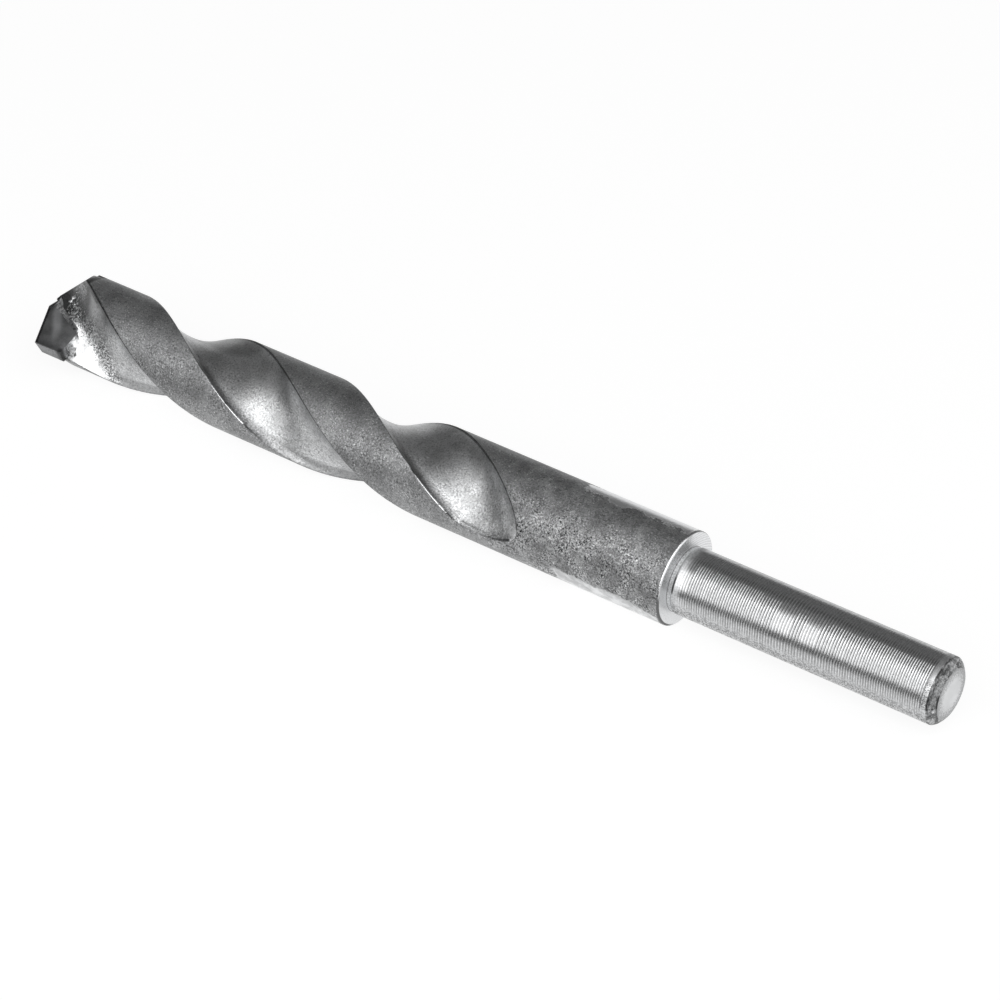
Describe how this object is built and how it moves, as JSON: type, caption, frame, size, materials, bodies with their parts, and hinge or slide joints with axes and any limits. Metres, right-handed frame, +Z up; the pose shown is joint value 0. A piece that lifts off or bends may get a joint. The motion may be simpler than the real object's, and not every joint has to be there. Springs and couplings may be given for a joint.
{
  "type": "masonry drill bit",
  "caption": "Masonry drill bit with a brazed carbide plate, helical flutes and a reduced round shank.",
  "frame": {"origin": "centre of the bottom of the bounding box, on the surface that the bit lies on, halfway along its length", "axes": "+X runs along the axis from the tip to the shank end, +Z is up"},
  "size_m": [0.2, 0.0198, 0.018],
  "materials": {
    "steel": "satin",
    "carbide": "satin",
    "braze": "satin"
  },
  "bodies": {
    "root": {"steel_body": "steel", "carbide_tip": "carbide", "braze_seam": "braze"}
  },
  "joints": []
}
